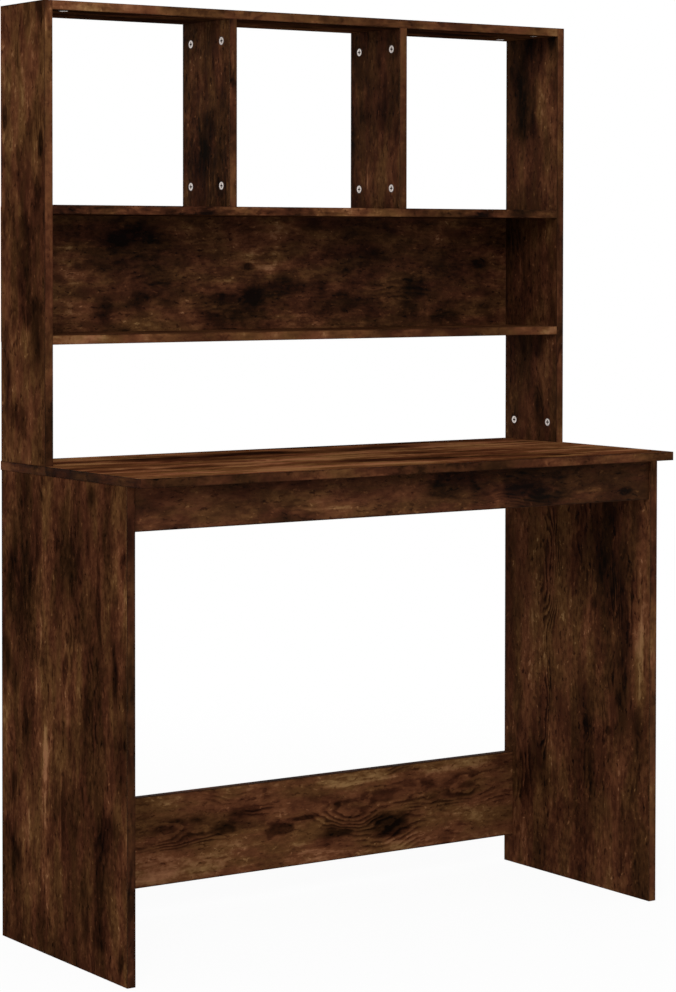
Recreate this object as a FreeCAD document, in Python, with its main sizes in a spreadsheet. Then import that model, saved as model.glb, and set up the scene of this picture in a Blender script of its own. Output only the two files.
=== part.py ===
import FreeCAD, Part
import Sketcher
import os

# A student desk with a shelf hutch, knocked down from faced chipboard boards.
# X runs along the desk's width, Y to its rear and Z up from the floor, in millimetres.
# The origin is on the floor under the middle of the desktop.

doc = FreeCAD.newDocument("desk_with_hutch")
sizes = doc.addObject("Spreadsheet::Sheet", "Sizes")

driving_sizes = {
    # desk
    "desk_width": "1100",
    "desk_depth": "455",
    "desktop_height": "805",
    "board_thickness": "15",
    "leg_depth": "410",
    "apron_height": "72",
    "apron_setback": "5",
    "stretcher_height": "158",
    "stretcher_lift": "53",
    "stretcher_setback": "10",
    # hutch
    "hutch_depth": "150",
    "desktop_gap": "200",
    "lower_bay_height": "200",
    "upper_bay_height": "320",
    "back_thickness": "3",
    "back_reveal": "1",
    # edge bands
    "band_thickness": "1",
    # places of the fasteners
    "cam_distance": "36",
    "hutch_edge_distance": "26",
    "leg_edge_distance": "70",
    "stretcher_edge_distance": "31",
    "apron_dowel_spacing": "32",
    # cams
    "cam_diameter": "15",
    "cam_floor": "2.5",
    "recess_length": "8",
    "recess_width": "2",
    "recess_depth": "2.5",
    # connecting bolts
    "bolt_diameter": "5",
    "bolt_head_diameter": "7",
    "bolt_head_length": "3",
    "bolt_floor": "4",
    # dowels
    "dowel_diameter": "8",
    "dowel_length": "30",
    "dowel_floor": "5",
    # drilling
    "fit_clearance": "0.1",
    "bolt_clearance": "0.4",
    "drill_run_out": "1",
}
for row, (alias, value) in enumerate(driving_sizes.items(), start=1):
    sizes.set(f"A{row}", alias)
    sizes.set(f"B{row}", value)
    sizes.setAlias(f"B{row}", alias)
doc.recompute()

# Faces that several boards share, as expressions on the sheet.
thickness = "Sizes.board_thickness"
outer_x = "(Sizes.desk_width / 2)"
inner_x = f"({outer_x} - {thickness})"
desktop_rear = "(Sizes.desk_depth / 2)"
frame_rear = f"({desktop_rear} - Sizes.back_thickness)"
leg_front = f"({frame_rear} - Sizes.leg_depth)"
hutch_front = f"({frame_rear} - Sizes.hutch_depth)"
apron_front = f"({leg_front} + Sizes.apron_setback)"
apron_rear = f"({apron_front} + {thickness})"
apron_core = f"({apron_front} + {thickness} / 2)"
stretcher_rear = f"({frame_rear} - Sizes.stretcher_setback)"
stretcher_front = f"({stretcher_rear} - {thickness})"
stretcher_core = f"({stretcher_rear} - {thickness} / 2)"
stretcher_low = "Sizes.stretcher_lift"
stretcher_high = f"({stretcher_low} + Sizes.stretcher_height)"
stretcher_middle = f"(({stretcher_low} + {stretcher_high}) / 2)"
desktop_top = "Sizes.desktop_height"
desktop_under = f"({desktop_top} - {thickness})"
apron_low = f"({desktop_under} - Sizes.apron_height)"
apron_middle = f"(({desktop_under} + {apron_low}) / 2)"
lower_shelf_under = f"({desktop_top} + Sizes.desktop_gap)"
lower_shelf_top = f"({lower_shelf_under} + {thickness})"
lower_shelf_middle = f"({lower_shelf_under} + {thickness} / 2)"
divider_shelf_under = f"({lower_shelf_top} + Sizes.lower_bay_height)"
divider_shelf_top = f"({divider_shelf_under} + {thickness})"
divider_shelf_middle = f"({divider_shelf_under} + {thickness} / 2)"
hutch_top_under = f"({divider_shelf_top} + Sizes.upper_bay_height)"
hutch_top_face = f"({hutch_top_under} + {thickness})"
divider_x = f"(({inner_x} + {thickness} / 2) / 3)"

nodes = []


def keep(piece, label):
    """Names a finished sub-part and lists it for writing."""
    piece.Label = label
    nodes.append(piece)
    return piece


def bind_place(piece, place):
    """Ties a piece's position to three expressions."""
    for axis, expression in zip("xyz", place):
        piece.setExpression(f"Placement.Base.{axis}", expression)


def block(name, spans):
    """A straight block between (low, high) expressions along X, Y and Z."""
    piece = doc.addObject("Part::Box", name)
    for side, (low, high) in zip(("Length", "Width", "Height"), spans):
        piece.setExpression(side, f"{high} - ({low})")
    bind_place(piece, [low for low, high in spans])
    return piece


def compound(name, pieces):
    """Separate pieces held in one group."""
    group = doc.addObject("Part::Compound", name)
    group.Links = pieces
    return group


# Knock-down fittings. Each is modelled once, in the frame of its own joint: the origin is where the cam's
# axis leaves the face of its board, X points along the bolt to the other board and Z out of the face.
bolt_depth = f"({thickness} / 2)"
cam_height = f"({thickness} - Sizes.cam_floor)"
bolt_grip = f"({thickness} - Sizes.bolt_floor)"
bolt_reach = f"(Sizes.cam_distance + {bolt_grip})"


def sketch_on(body, name, role, offset):
    """An empty sketch on one of the body's own origin planes, moved by three expressions."""
    sketch = body.newObject("Sketcher::SketchObject", name)
    plane = next(feature for feature in body.Origin.OriginFeatures if feature.Role == role)
    sketch.AttachmentSupport = (plane, "")
    sketch.MapMode = "FlatFace"
    for axis, expression in zip("xyz", offset):
        sketch.setExpression(f"AttachmentOffset.Base.{axis}", expression)
    return sketch


def draw_circle(sketch, diameter):
    """A circle about the sketch's origin."""
    sketch.addGeometry(Part.Circle(FreeCAD.Vector(), FreeCAD.Vector(0, 0, 1), 1), False)
    sketch.addConstraint(Sketcher.Constraint("Coincident", 0, 3, -1, 1))
    width = sketch.addConstraint(Sketcher.Constraint("Diameter", 0, 2))
    sketch.setExpression(f"Constraints[{width}]", diameter)


def draw_rectangle(sketch, width, height):
    """A rectangle with its middle at the sketch's origin."""
    corners = [FreeCAD.Vector(x, y) for x, y in ((-1, -1), (1, -1), (1, 1), (-1, 1))]
    for index in range(4):
        sketch.addGeometry(Part.LineSegment(corners[index], corners[(index + 1) % 4]), False)
    for index in range(4):
        sketch.addConstraint(Sketcher.Constraint("Coincident", index, 2, (index + 1) % 4, 1))
        sketch.addConstraint(Sketcher.Constraint(("Horizontal", "Vertical")[index % 2], index))
    sketch.addConstraint(Sketcher.Constraint("Symmetric", 0, 1, 2, 1, -1, 1))
    across = sketch.addConstraint(Sketcher.Constraint("DistanceX", 0, 1, 0, 2, 2))
    along = sketch.addConstraint(Sketcher.Constraint("DistanceY", 1, 1, 1, 2, 2))
    sketch.setExpression(f"Constraints[{across}]", width)
    sketch.setExpression(f"Constraints[{along}]", height)


def extrude(body, kind, name, sketch, length, midplane=False):
    """A Pad or Pocket of a sketch, which has to change the body's volume."""
    before = body.Shape.Volume if body.Tip else 0
    feature = body.newObject(kind, name)
    feature.Profile = sketch
    feature.setExpression("Length", length)
    feature.Midplane = midplane
    doc.recompute()
    grown = body.Shape.Volume - before
    if grown == 0 or (grown > 0) != (kind == "PartDesign::Pad"):
        raise ValueError(f"{name} changes nothing")


# The cam: a die-cast drum with a cross recess for the screwdriver in its face. A chamber in its middle
# holds the bolt's head, and a narrower mouth in its side lets only the bolt's shank through.
cam = doc.addObject("PartDesign::Body", "cam")
drum = sketch_on(cam, "drum_outline", "XY_Plane", ("0", "0", f"-{cam_height}"))
draw_circle(drum, "Sizes.cam_diameter - 2 * Sizes.fit_clearance")
extrude(cam, "PartDesign::Pad", "drum", drum, cam_height)
for arm, across, along in (("one", "length", "width"), ("two", "width", "length")):
    slot = sketch_on(cam, f"recess_{arm}_outline", "XY_Plane", ("0", "0", "0"))
    draw_rectangle(slot, f"Sizes.recess_{across}", f"Sizes.recess_{along}")
    extrude(cam, "PartDesign::Pocket", f"recess_{arm}", slot, "Sizes.recess_depth")
head_room = "(Sizes.bolt_head_diameter + 2 * Sizes.bolt_clearance)"
head_length = "(Sizes.bolt_head_length + 2 * Sizes.bolt_clearance)"
chamber = sketch_on(cam, "chamber_outline", "XZ_Plane", ("0", f"-{bolt_depth}", "0"))
draw_rectangle(chamber, head_length, head_room)
extrude(cam, "PartDesign::Pocket", "chamber", chamber, head_room, midplane=True)
mouth_width = "(Sizes.bolt_diameter + 2 * Sizes.bolt_clearance)"
mouth_length = "(Sizes.cam_diameter / 2)"
mouth = sketch_on(cam, "mouth_outline", "XZ_Plane", (f"{mouth_length} / 2", f"-{bolt_depth}", "0"))
draw_rectangle(mouth, mouth_length, mouth_width)
extrude(cam, "PartDesign::Pocket", "mouth", mouth, mouth_width, midplane=True)


def pin(name, diameter, start, end):
    """A straight pin along X between two expressions. What hides inside the boards is drawn eight-sided."""
    piece = doc.addObject("Part::Prism", name)
    piece.Polygon = 8
    piece.setExpression("Circumradius", f"({diameter}) / 2")
    piece.setExpression("Height", f"{end} - ({start})")
    piece.Placement = FreeCAD.Placement(FreeCAD.Vector(), FreeCAD.Rotation(FreeCAD.Vector(0, 1, 0), 90))
    piece.setExpression("Placement.Base.x", start)
    return piece


def fuse(name, base, tool):
    """Two shapes made into one solid."""
    piece = doc.addObject("Part::Fuse", name)
    piece.Base = base
    piece.Tool = tool
    return piece


def sunk(piece):
    """Moves a pin of a cam joint from the board's face to the middle of its thickness."""
    piece.setExpression("Placement.Base.z", f"-{bolt_depth}")
    return piece


# The connecting bolt: a steel pin whose head lies in the cam and whose far end bites into the other board.
half_head = "(Sizes.bolt_head_length / 2)"
bolt_head = sunk(pin("bolt_head", "Sizes.bolt_head_diameter", f"-{half_head}", half_head))
bolt_shank = sunk(pin("bolt_shank", "Sizes.bolt_diameter", half_head, bolt_reach))
bolt = fuse("bolt", bolt_head, bolt_shank)

# What a cam joint needs drilled: the cam's bore and the bolt's way to it in one board, and the bolt's
# blind hole in the other.
run_out = "Sizes.drill_run_out"
bolt_hole = "Sizes.bolt_diameter + 2 * Sizes.fit_clearance"
cam_bore = doc.addObject("Part::Cylinder", "cam_bore")
cam_bore.setExpression("Radius", "Sizes.cam_diameter / 2")
cam_bore.setExpression("Height", f"{cam_height} + {run_out}")
cam_bore.setExpression("Placement.Base.z", f"-{cam_height}")
bolt_way = sunk(pin("bolt_way", head_room, "0", f"Sizes.cam_distance + {run_out}"))
cam_drilling = fuse("cam_drilling", cam_bore, bolt_way)
bolt_drilling = sunk(pin("bolt_drilling", bolt_hole, f"Sizes.cam_distance - {run_out}", bolt_reach))

# The dowel: a beech pin, most of it in a shelf's or rail's end and the rest in the face of a side. Its
# frame has the origin where the two boards meet, with X along the dowel into the side.
dowel_grip = f"({thickness} - Sizes.dowel_floor)"
dowel_start = f"({dowel_grip} - Sizes.dowel_length)"
dowel_hole = "Sizes.dowel_diameter + 2 * Sizes.fit_clearance"
dowel = pin("dowel", "Sizes.dowel_diameter", dowel_start, dowel_grip)
end_drilling = pin("end_drilling", dowel_hole, dowel_start, run_out)
face_drilling = pin("face_drilling", dowel_hole, f"-{run_out}", dowel_grip)
doc.recompute()

drillings = {}
fittings = {}


def set_copies(place, turn, copies):
    """Sets linked copies of fittings and drillings at one joint, each in the list that it belongs to."""
    for master, pieces in copies:
        link = doc.addObject("App::Link", f"{master.Name}_copy")
        link.setLink(master)
        link.LinkTransform = True
        link.Placement = FreeCAD.Placement(FreeCAD.Vector(), turn)
        bind_place(link, place)
        pieces.append(link)


def cam_joint(group, cam_board, bolt_board, place, bolt_axis, face_axis):
    """One cam and its bolt, and the drilling for them in both boards."""
    turn = FreeCAD.Rotation(bolt_axis, face_axis.cross(bolt_axis), face_axis, "XZY")
    set_copies(place, turn, (
        (cam, fittings.setdefault(f"{group}_cams", [])),
        (bolt, fittings.setdefault(f"{group}_bolts", [])),
        (cam_drilling, drillings.setdefault(cam_board, [])),
        (bolt_drilling, drillings.setdefault(bolt_board, [])),
    ))


def dowel_joint(group, end_board, face_board, place, axis):
    """One dowel, and the drilling for it in both boards."""
    turn = FreeCAD.Rotation(FreeCAD.Vector(1, 0, 0), axis)
    set_copies(place, turn, (
        (dowel, fittings.setdefault(f"{group}_dowels", [])),
        (end_drilling, drillings.setdefault(end_board, [])),
        (face_drilling, drillings.setdefault(face_board, [])),
    ))


LEFT = FreeCAD.Vector(-1, 0, 0)
RIGHT = FreeCAD.Vector(1, 0, 0)
REAR = FreeCAD.Vector(0, 1, 0)
UP = FreeCAD.Vector(0, 0, 1)
DOWN = FreeCAD.Vector(0, 0, -1)

# Rows of fasteners: two in the depth of the hutch and of the legs, and two of dowels in each rail's height.
hutch_rows = (f"{hutch_front} + Sizes.hutch_edge_distance", f"{frame_rear} - Sizes.hutch_edge_distance")
leg_rows = (f"{leg_front} + Sizes.leg_edge_distance", f"{frame_rear} - Sizes.leg_edge_distance")
stretcher_rows = (
    f"{stretcher_low} + Sizes.stretcher_edge_distance",
    f"{stretcher_high} - Sizes.stretcher_edge_distance",
)
apron_rows = (
    f"{apron_middle} - Sizes.apron_dowel_spacing / 2",
    f"{apron_middle} + Sizes.apron_dowel_spacing / 2",
)
above_desktop = f"{desktop_top} + Sizes.cam_distance"
below_desktop = f"{desktop_under} - Sizes.cam_distance"
above_divider_shelf = f"{divider_shelf_top} + Sizes.cam_distance"
below_hutch_top = f"{hutch_top_under} - Sizes.cam_distance"

ends = (("left", LEFT, "-"), ("right", RIGHT, ""))
for end, outward, sign in ends:
    inward = outward * -1
    inner_face = f"{sign}{inner_x}"
    cam_x = f"{sign}({inner_x} - Sizes.cam_distance)"
    side = f"hutch_{end}_side"
    leg = f"{end}_leg_panel"
    divider = f"{end}_divider"
    divider_face = f"({sign}{divider_x} - {thickness} / 2)"
    for y in hutch_rows:
        cam_joint("hutch_top", "hutch_top", side, (cam_x, y, hutch_top_under), outward, DOWN)
        cam_joint("hutch_side", side, "desktop", (inner_face, y, above_desktop), DOWN, inward)
        cam_joint(divider, divider, "hutch_top", (divider_face, y, below_hutch_top), UP, LEFT)
        cam_joint(divider, divider, "divider_shelf", (divider_face, y, above_divider_shelf), DOWN, LEFT)
        for shelf, middle in (("divider_shelf", divider_shelf_middle), ("lower_shelf", lower_shelf_middle)):
            dowel_joint(shelf, shelf, side, (inner_face, y, middle), outward)
    for y in leg_rows:
        cam_joint("leg", leg, "desktop", (inner_face, y, below_desktop), UP, inward)
    cam_joint("stretcher", "rear_stretcher", leg, (cam_x, stretcher_rear, stretcher_middle), outward, REAR)
    for z in stretcher_rows:
        dowel_joint("stretcher", "rear_stretcher", leg, (inner_face, stretcher_core, z), outward)
    for z in apron_rows:
        dowel_joint("apron", "front_apron", leg, (inner_face, apron_core, z), outward)


def board(label, x, y, z, banded=()):
    """A faced board: its core, drilled for its fittings, and the bands glued on the named edges."""
    spans = [x, y, z]
    strips = []
    for edge in banded:
        axis = "xyz".index(edge[0])
        low, high = spans[axis]
        band = "Sizes.band_thickness"
        if edge[1] == "-":
            strip_span, core_span = (low, f"({low} + {band})"), (f"({low} + {band})", high)
        else:
            strip_span, core_span = (f"({high} - {band})", high), (low, f"({high} - {band})")
        strip = spans[:axis] + [strip_span] + spans[axis + 1:]
        strips.append(block(f"{label}_band_{len(strips)}", strip))
        spans[axis] = core_span
    core = block(f"{label}_core", spans)
    if label in drillings:
        drilled = doc.addObject("Part::Cut", f"{label}_drilled")
        drilled.Base = core
        drilled.Tool = compound(f"{label}_drillings", drillings[label])
        core = drilled
    keep(core, label)
    if strips:
        keep(compound(f"{label}_bands", strips), f"{label}_edge_bands")


# The desk: two legs carry the desktop, with a rail under its front and a low rail at the rear.
across = (f"-{inner_x}", inner_x)
left_wall = (f"-{outer_x}", f"-{inner_x}")
right_wall = (inner_x, outer_x)
full_width = (f"-{outer_x}", outer_x)
full_depth = (f"-{desktop_rear}", desktop_rear)
leg_span = (leg_front, frame_rear)
leg_rise = ("0", desktop_under)
board("desktop", full_width, full_depth, (desktop_under, desktop_top), ("y-", "y+", "x-", "x+"))
board("left_leg_panel", left_wall, leg_span, leg_rise, ("y-", "y+"))
board("right_leg_panel", right_wall, leg_span, leg_rise, ("y-", "y+"))
board("front_apron", across, (apron_front, apron_rear), (apron_low, desktop_under), ("z-",))
stretcher_span = (stretcher_front, stretcher_rear)
stretcher_rise = (stretcher_low, stretcher_high)
board("rear_stretcher", across, stretcher_span, stretcher_rise, ("z-", "z+"))

# The hutch: two sides stand on the desktop, and the top and shelves are set between them.
hutch_span = (hutch_front, frame_rear)
side_rise = (desktop_top, hutch_top_face)
board("hutch_left_side", left_wall, hutch_span, side_rise, ("y-", "y+", "z+"))
board("hutch_right_side", right_wall, hutch_span, side_rise, ("y-", "y+", "z+"))
board("hutch_top", across, hutch_span, (hutch_top_under, hutch_top_face), ("y-", "y+"))
board("divider_shelf", across, hutch_span, (divider_shelf_under, divider_shelf_top), ("y-",))
board("lower_shelf", across, hutch_span, (lower_shelf_under, lower_shelf_top), ("y-",))
for end, outward, sign in ends:
    faces = (f"({sign}{divider_x} - {thickness} / 2)", f"({sign}{divider_x} + {thickness} / 2)")
    board(f"{end}_divider", faces, hutch_span, (divider_shelf_top, hutch_top_under), ("y-", "y+"))

# The back panel: thin fibreboard on the rear edges of the sides and of both shelves.
reveal = "Sizes.back_reveal"
back_width = (f"(-{outer_x} + {reveal})", f"({outer_x} - {reveal})")
back_rise = (f"({lower_shelf_under} + {reveal})", f"({divider_shelf_top} - {reveal})")
board("hutch_back_panel", back_width, (frame_rear, desktop_rear), back_rise)

for label, pieces in fittings.items():
    keep(compound(f"{label}_group", pieces), label)

doc.recompute()
for piece in doc.Objects:
    if "Invalid" in piece.State or "Error" in piece.State:
        raise ValueError(f"{piece.Label} did not build: {piece.State}")
for piece in nodes:
    if piece.Shape.isNull() or not piece.Shape.isValid():
        raise ValueError(f"{piece.Label} has no valid shape")

os.makedirs("parts", exist_ok=True)
for piece in nodes:
    piece.Shape.exportStep(f"parts/{piece.Label}.step")
print(f"{len(nodes)} sub-parts written")
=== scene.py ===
from math import cos, pi, sin, tau

import bmesh
import bpy
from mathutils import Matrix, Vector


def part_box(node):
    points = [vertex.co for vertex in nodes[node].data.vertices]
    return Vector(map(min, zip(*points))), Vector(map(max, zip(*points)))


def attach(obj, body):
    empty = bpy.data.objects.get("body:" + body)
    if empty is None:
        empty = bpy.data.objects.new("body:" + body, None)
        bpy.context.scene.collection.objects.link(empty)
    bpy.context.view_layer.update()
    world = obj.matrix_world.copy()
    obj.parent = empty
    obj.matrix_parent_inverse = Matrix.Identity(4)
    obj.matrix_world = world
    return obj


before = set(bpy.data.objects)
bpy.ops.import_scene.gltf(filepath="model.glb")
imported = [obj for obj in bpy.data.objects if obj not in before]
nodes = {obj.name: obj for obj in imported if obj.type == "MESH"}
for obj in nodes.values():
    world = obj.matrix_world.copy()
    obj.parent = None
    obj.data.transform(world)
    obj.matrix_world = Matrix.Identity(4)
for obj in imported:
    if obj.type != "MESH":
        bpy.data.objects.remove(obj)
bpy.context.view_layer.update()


# Leg panels: two upright boards of 15 mm chipboard that carry the desktop, drawn to it by cams in their
# inner faces. A melamine foil printed with smoked oak is pressed on both faces, with smoky clouds, knots and
# pale brushed streaks. The foil's pattern is built here once, and the other boards take it too.
X, Y, Z = 0, 1, 2
MM = 0.001


def put(tree, kind, inputs, **properties):
    """Adds a shader node, and gives its sockets plain values or the outputs of other nodes."""
    node = tree.nodes.new(f"ShaderNode{kind}")
    for name, value in properties.items():
        setattr(node, name, value)
    for key, value in inputs.items():
        if isinstance(value, bpy.types.NodeSocket):
            tree.links.new(value, node.inputs[key])
        else:
            node.inputs[key].default_value = value
    return node


def sums(tree, operation, *values, clamp=False):
    """One arithmetic step between values of the pattern."""
    return put(tree, "Math", dict(enumerate(values)), operation=operation, use_clamp=clamp).outputs[0]


def moved(tree, operation, *places):
    """One arithmetic step between places on the pattern."""
    return put(tree, "VectorMath", dict(enumerate(places)), operation=operation).outputs[0]


def length_of(tree, place):
    """How far a place is from the origin."""
    return put(tree, "VectorMath", {0: place}, operation="LENGTH").outputs["Value"]


def parts_of(tree, place):
    """A place's or a direction's three parts."""
    return put(tree, "SeparateXYZ", {0: place}).outputs


def joined(tree, *parts):
    """A place from its parts."""
    return put(tree, "CombineXYZ", dict(enumerate(parts))).outputs[0]


def fade(tree, value, start, end, low=0.0, high=1.0):
    """Turns a value between start and end into a soft step between low and high."""
    inputs = {"Value": value, "From Min": start, "From Max": end, "To Min": low, "To Max": high}
    return put(tree, "MapRange", inputs, interpolation_type="SMOOTHSTEP").outputs[0]


def swing(tree, value, start, end):
    """A soft step from half below the board's own tone to half above it."""
    return fade(tree, value, start, end, -0.5, 0.5)


def mixed(tree, share, first, second, blend="MIX"):
    """Two colours mixed, through the Mix node's own sockets for colour."""
    inputs = {"Factor": share, 6: first, 7: second}
    return put(tree, "Mix", inputs, data_type="RGBA", blend_type=blend).outputs[2]


def specks(tree, place, cells, detail, roughness=0.5):
    """Even noise, in cells per metre."""
    inputs = {"Vector": place, "Scale": cells, "Detail": detail, "Roughness": roughness}
    return put(tree, "TexNoise", inputs).outputs["Fac"]


def fibres(tree, place, along, across, detail, roughness=0.55):
    """Noise drawn out along the grain, in cells per metre along and across it."""
    return specks(tree, moved(tree, "MULTIPLY", place, (along, across, 1.0)), 1.0, detail, roughness)


def wander(tree, place, cells, detail):
    """A push to all sides that changes from place to place."""
    push = put(tree, "TexNoise", {"Vector": place, "Scale": cells, "Detail": detail}).outputs["Color"]
    return moved(tree, "SUBTRACT", push, (0.5, 0.5, 0.5))


def shared_effect(name, inputs, outputs):
    """An empty node group with named sockets, its input node's sockets and its output node's."""
    tree = bpy.data.node_groups.new(name, "ShaderNodeTree")
    for label, value in inputs.items():
        kind = "NodeSocketVector" if isinstance(value, tuple) else "NodeSocketFloat"
        tree.interface.new_socket(label, in_out="INPUT", socket_type=kind).default_value = value
    for label, kind in outputs.items():
        tree.interface.new_socket(label, in_out="OUTPUT", socket_type=f"NodeSocket{kind}")
    return tree, tree.nodes.new("NodeGroupInput").outputs, tree.nodes.new("NodeGroupOutput").inputs


def srgb(red, green, blue):
    """A colour as it is seen on screen, as the plain light values that a shader takes."""
    light = []
    for part in (red, green, blue):
        level = part / 255
        light.append(((level + 0.055) / 1.055) ** 2.4 if part > 10 else level / 12.92)
    return (*light, 1.0)


OAK_SHADES = (
    (0.0, srgb(15, 8, 5)),
    (0.25, srgb(39, 21, 11)),
    (0.5, srgb(64, 37, 21)),
    (0.75, srgb(94, 60, 35)),
    (1.0, srgb(136, 99, 65)),
)
COOL_STAIN = (0.96, 1.03, 0.95, 1.0)
RED_STAIN = (1.07, 0.94, 1.06, 1.0)
PAINTED_WARM_LIGHT = (1.07, 0.935, 0.865, 1.0)


def make_oak_print():
    """The printed foil. Place runs along the grain, across it and into the board, in metres."""
    tree, given, result = shared_effect(
        "smoked_oak_print",
        {"Place": (0.0, 0.0, 0.0), "Seed": 0.0, "Tone": 0.5, "Contrast": 1.0, "Smoke": 0.0, "Figure": 0.5,
         "Dark marks": 0.0, "Pale marks": 0.0, "Light": 0.0, "Ring swell": 0.0, "Rim": 0.0,
         "Speckle": 1.0, "Painted warm light": 0.0, "Cloud shortness": 1.0, "Brushing": 1.0},
        {"Colour": "Color", "Roughness": "Float", "Height": "Float"},
    )
    # Each board is cut from another stretch of the printed sheet, and the grain sways a little
    sheet = moved(tree, "MULTIPLY", given["Place"], (1.0, 1.0, 40.0))
    stretch = joined(tree, given["Seed"], given["Seed"], given["Seed"])
    sheet = moved(tree, "MULTIPLY_ADD", stretch, (3.17, 5.71, 1.93), sheet)
    sway = sums(tree, "SUBTRACT", fibres(tree, sheet, 2.4, 7.0, 2.0), 0.5)
    bent = moved(tree, "ADD", sheet, joined(tree, 0.0, sums(tree, "MULTIPLY", sway, 0.02)))

    # Clouds, streaks, fine fibres and mottling
    clouded = moved(tree, "MULTIPLY", bent, joined(tree, given["Cloud shortness"], 1.0, 1.0))
    zones = swing(tree, fibres(tree, clouded, 2.4, 9.0, 5.0), 0.34, 0.66)
    patches = swing(tree, fibres(tree, clouded, 6.5, 24.0, 6.0, 0.66), 0.36, 0.64)
    streaks = swing(tree, fibres(tree, bent, 4.5, 44.0, 5.0, 0.6), 0.36, 0.64)
    fine = swing(tree, fibres(tree, bent, 22.0, 250.0, 3.0, 0.6), 0.32, 0.68)
    mottle = swing(tree, fibres(tree, bent, 70.0, 115.0, 4.0, 0.65), 0.34, 0.66)
    mottle = sums(tree, "MULTIPLY", mottle, given["Speckle"])

    # Pale places, where the oak was brushed and its fibres lie combed
    worn = sums(tree, "MULTIPLY_ADD", patches, -0.3, given["Pale marks"])
    worn = fade(tree, sums(tree, "MULTIPLY_ADD", streaks, 0.6, worn), 0.15, 1.0)
    worn = sums(tree, "MULTIPLY", worn, fade(tree, given["Pale marks"], 0.0, 0.4))
    brushed = fade(tree, fibres(tree, sheet, 2.8, 10.0, 3.0), 0.42, 0.62, 0.3, 0.9)
    brushed = sums(tree, "MULTIPLY", brushed, given["Brushing"])
    brushed = sums(tree, "MULTIPLY_ADD", worn, 0.9, brushed)
    combed = swing(tree, fibres(tree, bent, 3.0, 120.0, 2.0), 0.4, 0.6)

    # Smoke in soft clouds, and what has ragged edges: torn fibres, drips, ticks, flecks and knots
    smoke = sums(tree, "MULTIPLY_ADD", patches, 0.14, fibres(tree, clouded, 3.2, 12.0, 7.0, 0.66))
    smoke = sums(tree, "MULTIPLY_ADD", streaks, 0.15, sums(tree, "ADD", smoke, given["Smoke"]))
    smoke = sums(tree, "MULTIPLY_ADD", mottle, 0.13, smoke)
    smoke = fade(tree, sums(tree, "MULTIPLY_ADD", given["Dark marks"], 0.27, smoke), 0.5, 0.88)
    ragged = moved(tree, "MULTIPLY_ADD", wander(tree, sheet, 85.0, 2.0), (0.016, 0.008, 0.0), sheet)
    torn = swing(tree, fibres(tree, ragged, 7.0, 30.0, 5.0, 0.6), 0.46, 0.58)
    drips = fade(tree, fibres(tree, ragged, 14.0, 70.0, 3.0), 0.61, 0.71)
    ticks = fade(tree, fibres(tree, ragged, 60.0, 170.0, 3.0, 0.6), 0.6, 0.68, 0.0, given["Speckle"])
    flecks = fade(tree, fibres(tree, ragged, 75.0, 130.0, 3.0), 0.62, 0.72, 0.0, given["Speckle"])
    cells = moved(tree, "MULTIPLY", ragged, (7.0, 11.0, 1.0))
    cells = put(tree, "TexVoronoi", {"Vector": cells, "Scale": 1.0}, voronoi_dimensions="2D").outputs
    chance = parts_of(tree, cells["Color"])[X]
    knots = sums(tree, "DIVIDE", cells["Distance"], fade(tree, chance, 0.7, 1.0, 0.01, 0.14))
    knots = fade(tree, knots, 0.3, 1.0, 1.0, 0.0)

    # Wave figure: year rings that swell round an eye, in broken lines
    rings = sums(tree, "MULTIPLY", fibres(tree, bent, 4.5, 10.0, 3.0, 0.5), 11.0)
    rings = sums(tree, "MULTIPLY_ADD", parts_of(tree, bent)[Y], 80.0, rings)
    rings = sums(tree, "MULTIPLY_ADD", mottle, 0.1, rings)
    rings = sums(tree, "FRACT", sums(tree, "MULTIPLY_ADD", given["Ring swell"], 2.2, rings))
    lines = sums(tree, "SUBTRACT", fade(tree, rings, 0.2, 0.75), fade(tree, rings, 0.82, 1.0))
    broken = fade(tree, fibres(tree, ragged, 12.0, 34.0, 4.0), 0.38, 0.6)
    shown = fade(tree, fibres(tree, sheet, 4.0, 11.0, 3.0), 0.52, 0.66)
    shown = sums(tree, "MAXIMUM", shown, fade(tree, given["Ring swell"], 0.05, 0.4))
    figure = sums(tree, "MULTIPLY", sums(tree, "MULTIPLY", lines, broken), shown)
    figure = sums(tree, "MULTIPLY", figure, given["Figure"])

    # Tone: every layer with its weight, then the board's own contrast and tone
    grain = sums(tree, "MULTIPLY_ADD", fine, 0.16, sums(tree, "MULTIPLY", streaks, 0.21))
    tone = sums(tree, "MULTIPLY", brushed, grain)
    layers = (
        (zones, 0.24), (patches, -0.17), (mottle, 0.15), (torn, 0.09), (figure, -0.42),
        (drips, -0.15), (knots, -0.2), (ticks, -0.22), (flecks, 0.2),
    )
    for layer, weight in layers:
        tone = sums(tree, "MULTIPLY_ADD", layer, weight, tone)
    tone = sums(tree, "MULTIPLY_ADD", worn, sums(tree, "MULTIPLY_ADD", combed, 0.2, 0.13), tone)
    tone = sums(tree, "MULTIPLY_ADD", tone, given["Contrast"], given["Tone"])
    # Light raises or lowers the tone in broad patches: print clouds, and on some boards painted light and
    # shade.
    tone = sums(tree, "MULTIPLY_ADD", given["Light"], 0.16, tone)
    tone = sums(tree, "MULTIPLY_ADD", smoke, -0.34, tone)
    tone = sums(tree, "MULTIPLY_ADD", given["Rim"], -0.12, tone, clamp=True)

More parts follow.
